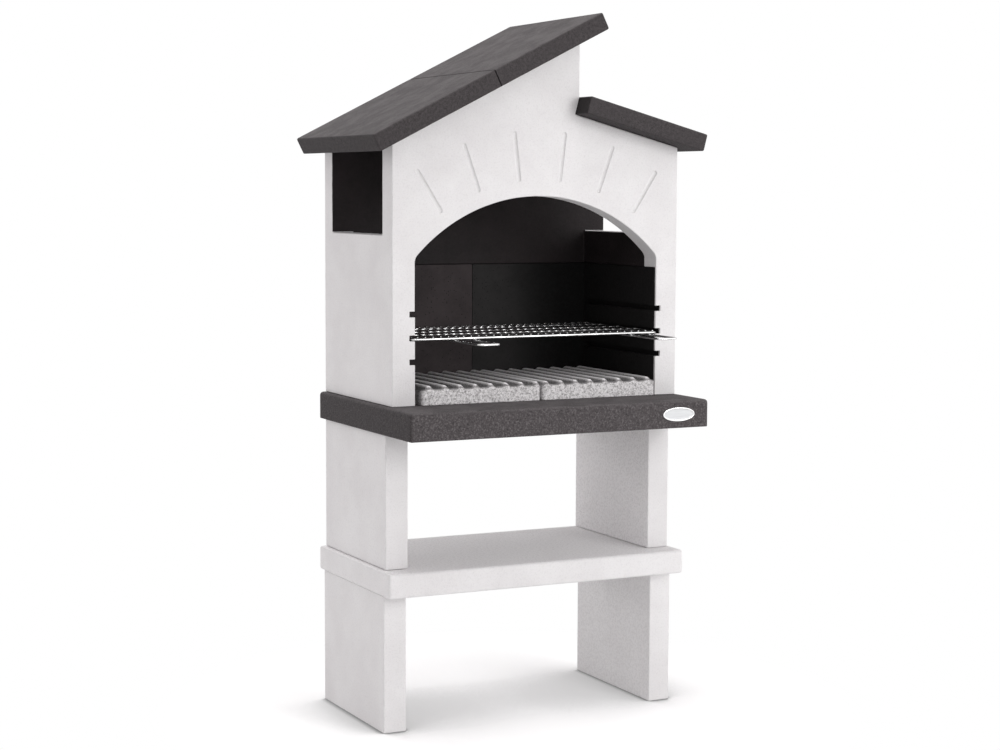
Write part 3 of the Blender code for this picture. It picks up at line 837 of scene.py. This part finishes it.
def legInside(pen, place):
    # the faces of the legs that look at each other are left as cast
    toMiddle = pen.math("SIGN", pen.minus(middle, pen.split(place)[0]))
    return pen.ramp(pen.times(pen.facing()[0], toMiddle), 0.5, 0.9)


def topFace(pen, place):
    return pen.ramp(pen.facing()[2], 0.6, 0.95)


def worktopWeigh(edge):
    atFoot = all(vert.co.z < hobLow[2] + castWork["onFace"] for vert in edge.verts)
    return worktop["footShare"] if atFoot else 1.0


print("legs, shelf and worktop")
for storey, paintedLight in legs["paintedLight"].items():
    legCoat = whiteCoat(storey + "LegWhite", legInside, paintedLight)
    for hand in ("left", "right"):
        node = f"{storey}_leg_{hand}"
        casting(f"{storey}Leg{hand.title()}", block(*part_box(node)), legs, legCoat, "white_masonry", (node,))
shelfCoat = whiteCoat("whiteShelf", topFace, shelf["paintedLight"])
casting("shelfSlab", block(*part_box("shelf_slab")), shelf, shelfCoat, "white_masonry", ("shelf_slab",))
worktopCoat = anthraciteCoat("anthraciteWorktop", 1.0, 0.5)
worktopShape = block(hobLow, hobHigh)
casting("worktop", worktopShape, worktop, worktopCoat, "anthracite_masonry", ("hob_slab",), worktopWeigh)

roof = {
    "edge": 0.005,
    "segments": 3,
    "grid": 0.03,
    "dip": 0.0007,
    "thick": 0.048,
    "joint": 0.002,
    "jointShare": 0.25,
    "lowerLength": 0.379,
    "leftOverhang": 0.058,
    "peakOverhang": 0.054,
}


def roofSlabs(look):
    base, side, bed = frontLow[2], frontHigh[0] - middle, hood["bed"]
    low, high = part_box("roof_slab_left_lower")
    slope, rightSlope = hood["leftSlope"], hood["rightSlope"]
    way, up = slabAxes(slope)
    eave = base + hood["leftEave"] - look["leftOverhang"] * tan(slope)
    foot = Vector((middle - side - look["leftOverhang"], eave))
    rightWay, rightUp = slabAxes(-rightSlope)
    overhang = hood["rightOverhang"]
    rightEave = base + hood["rightEave"] - overhang * tan(rightSlope)
    head = Vector((middle + side + overhang, rightEave)) - hood["rightLength"] * rightWay
    stepX = head.x + ((look["thick"] + bed) * rightUp - bed * (rightWay + rightUp)).x
    total = (stepX + look["peakOverhang"] - foot.x) / cos(slope)
    lower = look["lowerLength"]
    joint = foot + lower * way
    start = joint + look["joint"] * way
    roofCoat = anthraciteCoat("anthraciteRoof", 0.2, 0.12)
    # the right slab's left end gets painted shade
    endShadeCoat = anthraciteCoat("anthraciteShadedEnd", 0.2, 0.12, 0.6)
    slabs = {
        "left_lower": (foot, way, up, lower, joint, roofCoat),
        "left_upper": (start, way, up, total - lower - look["joint"], start, roofCoat),
        "right": (head, rightWay, rightUp, hood["rightLength"], None, endShadeCoat),
    }
    for name, (corner, along, out, length, seam, material) in slabs.items():
        far, thick = corner + length * along, look["thick"] * out
        outline = [tuple(point) for point in (corner, far, far + thick, corner + thick)]

        def weigh(edge):
            ends = [vert.co.xz for vert in edge.verts]
            if seam and all(abs((end - seam).dot(along)) < castWork["onFace"] for end in ends):
                return look["jointShare"]
            return 1.0

        shape = prism(outline, low[1], high[1])
        piece = "roofSlab" + name.title().replace("_", "")
        casting(piece, shape, look, material, "anthracite_masonry", ("roof_slab_" + name,), weigh)


print("roof")
roofSlabs(roof)

print("lining")
# the different slab levels are partly painted light and shade, and the corner share is painted shade
liningSlabs = {  # the CAD slabs stay; tint, level and corner share of each one's colour
    "lining_side_left": ((1.0, 0.82, 0.85), 0.013, 1.0),
    "lining_side_right": ((1.0, 0.86, 0.88), 0.006, 1.0),
    "lining_back_left": ((1.0, 0.82, 0.85), 0.038, 1.0),
    "lining_back_right": ((1.0, 0.95, 0.95), 0.019, 0.25),
}
for node, values in liningSlabs.items():
    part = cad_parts[node]
    part.data.materials.clear()
    part.data.materials.append(liningBrick("brick_" + node, *values))

# Fire bed
fireLow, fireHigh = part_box("fire_bed_left")
fireBed = {
    "Width": fireHigh[0] - fireLow[0],
    "Depth": fireHigh[1] - fireLow[1],
    "Rim": 0.042,
    "Rise": 0.009,
    "Channel": 0.012,
    "Pitch": 0.0447,
    "Margin": 0.022,
    "Foot": 0.0265,
    "Top": 0.0055,
    "Corner": 0.010,
    "Arris": 0.0035,
    "Pits": 0.0007,
    "Across": 196,
    "Along": 70,
    "Upright": 14,
}
ridges = {
    "crowding": 0.8,
    "rise": (0.0, 0.012, 0.45, 1.0),
    "dipEnd": (0.009, 0.027),
    "dipSide": (0.0, 0.011, 0.25, 1.0),
    "pits": 230.0,
}


def ridgedSlabTree():
    tree, pen, given, out = geometryTree("ridgedSlab", fireBed)
    width, depth, arris, corner = (given[key] for key in ("Width", "Depth", "Arris", "Corner"))
    counts = {"Vertices X": given["Across"], "Vertices Y": given["Along"], "Vertices Z": given["Upright"]}
    cube = pen.geo("MeshCube", {"Size": (1.0, 1.0, 1.0), **counts})
    x, y, z = pen.split(pen.geo("InputPosition"))
    x = pen.times(pen.plus(x, 0.5), width)
    # rows of points closer together at the front and the back
    share = pen.plus(y, 0.5)
    swing = pen.times(pen.math("SINE", pen.times(share, 2 * pi)), ridges["crowding"] / (2 * pi))
    y = pen.times(pen.minus(share, swing), depth)
    level = pen.plus(z, 0.5)
    fromEnd = pen.math("MINIMUM", y, pen.minus(depth, y))
    fromSide = pen.math("MINIMUM", x, pen.minus(width, x))
    # ridges and channels
    count = pen.math("DIVIDE", pen.minus(x, given["Margin"]), given["Pitch"])
    off = pen.times(pen.math("ABSOLUTE", pen.minus(count, pen.math("ROUND", count))), given["Pitch"])
    ridge = pen.ramp(off, pen.times(given["Top"], 0.5), pen.times(given["Foot"], 0.5), 1.0, 0.0)
    rise = pen.times(given["Rise"], ridge, pen.ramp(fromEnd, *ridges["rise"]))
    dip = pen.times(pen.minus(1.0, ridge), pen.ramp(fromEnd, *ridges["dipEnd"]))
    dip = pen.times(dip, pen.ramp(fromSide, *ridges["dipSide"]))
    top = pen.minus(pen.plus(given["Rim"], rise), pen.times(dip, given["Channel"]))
    # a round arris along the upper edges
    near = pen.math("DIVIDE", pen.math("MINIMUM", fromEnd, fromSide), arris, clamp=True)
    lack = pen.minus(1.0, near)
    fall = pen.minus(1.0, pen.math("SQRT", pen.minus(1.0, pen.times(lack, lack))))
    top = pen.minus(top, pen.times(fall, arris))
    # round corners, seen from above
    inX = pen.math("MINIMUM", pen.math("MAXIMUM", x, corner), pen.minus(width, corner))
    inY = pen.math("MINIMUM", pen.math("MAXIMUM", y, corner), pen.minus(depth, corner))
    outX, outY = pen.minus(x, inX), pen.minus(y, inY)
    most = pen.math("MAXIMUM", pen.math("ABSOLUTE", outX), pen.math("ABSOLUTE", outY))
    span = pen.math("SQRT", pen.plus(pen.times(outX, outX), pen.times(outY, outY)))
    turn = pen.math("DIVIDE", most, pen.math("MAXIMUM", span, 0.000001))
    x, y = pen.plus(inX, pen.times(outX, turn)), pen.plus(inY, pen.times(outY, turn))
    place = pen.pack(x, y, pen.times(level, top))
    formed = pen.geo("SetPosition", {"Geometry": cube, "Position": place})
    pits = pen.noise(pen.geo("InputPosition"), ridges["pits"], 3.0, 0.65)
    closeTree(pen, given, out, sunk(pen, formed, pits, given["Pits"]), smooth=True)
    return tree


print("fire bed")
ember = emberStone("emberStone", fireHigh[2])
slabTree = ridgedSlabTree()
for hand in ("left", "right"):
    node = f"fire_bed_{hand}"
    low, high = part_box(node)
    if hand == "left":
        place = Matrix.Translation(low)
    else:
        place = Matrix.Translation((high[0], high[1], low[2])) @ Matrix.Rotation(pi, 4, "Z")
    slab = grown(f"fireSlab{hand.title()}", slabTree, fireBed, place, ember)
    settle(slab, node, "speckled_refractory", node)

# Grill
gridLow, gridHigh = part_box("grill_bars")
loopLow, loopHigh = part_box("grill_frame")
grillBars = {
    "Bars": 33,
    "Pitch": 0.022,
    "Wire": 0.0030,
    "Length": gridHigh[1] - gridLow[1],
    "Crosses": 3,
    "CrossWire": 0.0045,
    "Span": gridHigh[0] - gridLow[0],
    "Sink": 0.0026,
}
grillLoop = {
    "Width": loopHigh[0] - loopLow[0],
    "Depth": loopHigh[1] - loopLow[1],
    "Wire": 0.006,
    "Corner": 0.018,
}


def rod(pen, path, wire, sides, caps):
    values = {"Resolution": sides, "Radius": pen.times(wire, 0.5)}
    ring = pen.geo("CurvePrimitiveCircle", values)
    return pen.geo("CurveToMesh", {"Curve": path, "Profile Curve": ring, "Fill Caps": caps})


def wireRowTree():
    # bars front to back, on cross wires
    tree, pen, given, out = geometryTree("wireRow", grillBars)
    pitch, length, wire, cross = (given[key] for key in ("Pitch", "Length", "Wire", "CrossWire"))

    def row(count, gap, start, end, wire):
        line = pen.geo("CurvePrimitiveLine", {"Start": start, "End": end})
        spots = pen.geo("MeshLine", {"Count": count, "Offset": gap})
        values = {"Points": spots, "Instance": rod(pen, line, wire, 12, True)}
        return pen.geo("InstanceOnPoints", values)

    first = pen.times(pen.minus(given["Bars"], 1.0), pitch, -0.5)
    ends = pen.pack(first, 0.0, 0.0), pen.pack(first, length, 0.0)
    bars = row(given["Bars"], pen.pack(pitch, 0.0, 0.0), *ends, wire)
    drop = pen.minus(given["Sink"], pen.times(pen.plus(wire, cross), 0.5))
    step = pen.math("DIVIDE", length, pen.plus(given["Crosses"], 1.0))
    reach = pen.times(given["Span"], 0.5)
    ends = pen.pack(pen.times(reach, -1.0), step, drop), pen.pack(reach, step, drop)
    crosses = row(given["Crosses"], pen.pack(0.0, step, 0.0), *ends, cross)
    both = pen.put("GeometryNodeJoinGeometry")
    for part in (bars, crosses):
        pen.feed(both.inputs[0], part)
    closeTree(pen, given, out, both.outputs[0], smooth=True)
    return tree


def wireLoopTree():
    # the frame: one wire bent round four corners
    tree, pen, given, out = geometryTree("wireLoop", grillLoop)
    wide, deep = (pen.minus(given[key], given["Wire"]) for key in ("Width", "Depth"))
    path = pen.geo("CurvePrimitiveQuadrilateral", {"Width": wide, "Height": deep})
    values = {"Curve": path, "Radius": given["Corner"], "Count": 8}
    bend = pen.geo("FilletCurve", values, mode="POLY")
    closeTree(pen, given, out, rod(pen, bend, given["Wire"], 18, False), smooth=True)
    return tree


print("grill")
chrome = chromedWire("chromedWire")
barsPlace = Matrix.Translation((middle, gridLow[1], gridHigh[2] - grillBars["Wire"] / 2))
bars = grown("grillBars", wireRowTree(), grillBars, barsPlace, chrome)
settle(bars, "grill", "chromed_wire", "grill_bars")
loopPlace = Matrix.Translation([(low + high) / 2 for low, high in zip(loopLow, loopHigh)])
loop = grown("grillFrame", wireLoopTree(), grillLoop, loopPlace, chrome)
settle(loop, "grill", "chromed_wire", "grill_frame")

handle = {"wire": 0.006, "corner": 0.012, "cornerSteps": 10}


def grillHandle(name, node, look):
    low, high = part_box(node)
    inset, corner, steps = look["wire"] / 2, look["corner"], look["cornerSteps"]
    left, right, front = low[0] + inset, high[0] - inset, low[1] + inset
    path = [(left, high[1])]
    path += curve((left + corner, front + corner), corner, pi, 1.5 * pi, steps)
    path += curve((right - corner, front + corner), corner, -0.5 * pi, 0, steps)
    path.append((right, high[1]))
    data = bpy.data.curves.new(name, "CURVE")
    data.dimensions = "3D"
    line = data.splines.new("POLY")
    line.points.add(len(path) - 1)
    for point, (x, y) in zip(line.points, path):
        point.co = (x, y, (low[2] + high[2]) / 2, 1.0)
    data.bevel_depth = inset
    data.bevel_resolution = 7
    data.use_fill_caps = True
    piece = bake(newThing(name + "Line", data), name)
    for face in piece.data.polygons:
        face.use_smooth = len(face.vertices) == 4
    piece.data.materials.clear()
    piece.data.materials.append(chrome)
    settle(piece, "grill", "chromed_wire", node)


for hand in ("left", "right"):
    grillHandle(f"grillHandle{hand.title()}", f"grill_handle_{hand}", handle)

# Plate on the worktop's front
plateLow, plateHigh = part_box("oval_plate")
plate = {
    "x": (plateLow[0] + plateHigh[0]) / 2,
    "z": (plateLow[2] + plateHigh[2]) / 2,
    "halfWidth": (plateHigh[0] - plateLow[0]) / 2,
    "halfHeight": (plateHigh[2] - plateLow[2]) / 2,
    "rim": 0.0042,
    "steps": 96,
    # how far in from the edge, and how far back from the front
    "profile": [
        (0.0, 0.003), (0.0, 0.0011), (0.0004, 0.0004), (0.0012, 0.0), (0.0026, 0.0),
        (0.0036, 0.0004), (0.0044, 0.0011), (0.0060, 0.0013), (0.0100, 0.0012), (0.0150, 0.0011),
    ],
    "brush": (20.0, 600.0, 1400.0),
    "field": (grey(0.66, (0.965, 0.985, 1.0)), grey(0.58, (0.965, 0.985, 1.0))),
    "metal": (grey(0.86), grey(0.74)),
}


def ovalPlate(look, material):
    rings = []
    for inset, back in look["profile"]:
        ring = []
        for step in range(look["steps"]):
            turn = 2 * pi * step / look["steps"]
            x = look["x"] + (look["halfWidth"] - inset) * cos(turn)
            z = look["z"] + (look["halfHeight"] - inset) * sin(turn)
            ring.append((x, plateLow[1] + back, z))
        rings.append(ring)
    shape = stack(rings)
    for face in shape.faces:
        face.smooth = len(face.verts) == 4
    piece = newThing("ovalPlate", asMesh(shape, "ovalPlate"))
    piece.data.materials.append(material)
    settle(piece, "masonry", "plate_metal", "oval_plate")


print("plate")
ovalPlate(plate, plateFinish("plateMetal", plate))

# Studio
studio = {
    "floor": 0.90,
    # painted shade from ambient occlusion: how far each shade reaches, the openness at which it starts and
    # ends, and how dark it is
    "paintedShades": [(0.46, 0.54, 0.80, 0.62), (0.1, 0.45, 0.98, 0.84), (0.03, 0.5, 0.85, 0.12)],
    "glow": 0.2,
    "near": 0.42,
    "far": 0.98,
    "worldLight": 0.65,
    "worldTint": (1.0, 0.965, 0.973),
}
lamps = {  # place, aim, size and power of each
    "keyLamp": ((4.1, -4.0, 1.9), (0.0, 0.0, 1.0), (2.8, 2.8), 36.0),
    "frontLamp": ((2.0, -4.5, 2.3), (0.0, 0.0, 0.9), (1.6, 2.2), 74.0),
    "sideLamp": ((-4.3, -1.7, 1.5), (0.0, 0.0, 1.0), (2.4, 2.2), 4.0),
    "backLamp": ((-0.9, 4.0, 2.0), (0.0, 0.0, 0.6), (4.0, 2.0), 62.0),
    "topLamp": ((-0.2, -0.4, 4.8), (0.0, 0.0, 1.0), (2.2, 2.2), 66.0),
}
photoView = {
    "place": (-2.5094, -4.9994, 1.4280),
    "turn": radians(26.436),
    "tilt": radians(5.175),
    "roll": radians(0.228),
    "lens": 73.92,
    "sensor": 36.0,
}


def seenRays(pen):
    # what the camera sees, straight or by a reflection
    path = pen.put("ShaderNodeLightPath").outputs
    mirrored = pen.math("MAXIMUM", path["Is Glossy Ray"], path["Is Transmission Ray"])
    return pen.math("MAXIMUM", path["Is Camera Ray"], mirrored)


def addFloor(look):
    # white ground with painted shade from ambient occlusion near the legs, which fades into the background
    shape = bmesh.new()
    bmesh.ops.create_grid(shape, x_segments=1, y_segments=1, size=40.0)
    floor = newThing("studioFloor", asMesh(shape, "studioFloor"))
    material = bpy.data.materials.new("studioFloor")
    pen = penFor(material)
    white = grey(look["floor"])
    diffuse = pen.result("ShaderNodeBsdfDiffuse", {"Color": white})
    corner = 1.0
    for reach, start, end, dark in look["paintedShades"]:
        shade = pen.put("ShaderNodeAmbientOcclusion", {"Distance": reach}, samples=8)
        corner = pen.times(pen.ramp(shade.outputs["AO"], start, end, dark, 1.0), corner)
    contact = pen.result("ShaderNodeBsdfDiffuse", {"Color": pen.blend(corner, grey(0.0), white)})
    glow = pen.result("ShaderNodeEmission", {"Color": grey(1.0), "Strength": look["glow"]})
    lit = pen.result("ShaderNodeAddShader", {0: contact, 1: glow})
    place = pen.put("ShaderNodeTexCoord").outputs["Object"]
    away = pen.put("ShaderNodeVectorMath", {0: place}, operation="LENGTH").outputs["Value"]
    blank = pen.result("ShaderNodeEmission", {"Color": grey(1.0), "Strength": 1.0})
    fade = pen.ramp(away, look["near"], look["far"])
    ground = pen.result("ShaderNodeMixShader", {0: fade, 1: lit, 2: blank})
    mixed = pen.result("ShaderNodeMixShader", {0: seenRays(pen), 1: diffuse, 2: ground})
    pen.put("ShaderNodeOutputMaterial", {0: mixed})
    floor.data.materials.append(material)


def addWorld(look):
    world = bpy.data.worlds.new("studio")
    bpy.context.scene.world = world
    pen = penFor(world)
    tint = grey(1.0, look["worldTint"])
    soft = pen.result("ShaderNodeBackground", {"Color": tint, "Strength": look["worldLight"]})
    white = pen.result("ShaderNodeBackground", {"Color": grey(1.0), "Strength": 1.0})
    mixed = pen.result("ShaderNodeMixShader", {0: seenRays(pen), 1: soft, 2: white})
    pen.put("ShaderNodeOutputWorld", {0: mixed})


def addLamp(name, place, target, size, power):
    data = bpy.data.lights.new(name, "AREA")
    data.shape = "RECTANGLE"
    data.size, data.size_y = size
    data.energy = power
    turn = (Vector(target) - Vector(place)).to_track_quat("-Z", "Y").to_matrix().to_4x4()
    newThing(name, data).matrix_world = Matrix.Translation(place) @ turn


def addCamera(view):
    # the photograph's angle
    turn, tilt, roll = view["turn"], view["tilt"], view["roll"]
    ahead = Vector((sin(turn) * cos(tilt), cos(turn) * cos(tilt), -sin(tilt)))
    right = Vector((cos(turn), -sin(turn), 0.0))
    up = right.cross(ahead)
    across = cos(roll) * right + sin(roll) * up
    upward = -sin(roll) * right + cos(roll) * up
    data = bpy.data.cameras.new("photoCamera")
    data.lens = view["lens"]
    data.sensor_width = view["sensor"]
    camera = newThing("photoCamera", data)
    axes = Matrix((across, upward, -ahead)).transposed().to_4x4()
    camera.matrix_world = Matrix.Translation(view["place"]) @ axes
    bpy.context.scene.camera = camera


print("studio")
addFloor(studio)
addWorld(studio)
for name, values in lamps.items():
    addLamp(name, *values)
addCamera(photoView)
bpy.context.scene.view_settings.view_transform = "Standard"
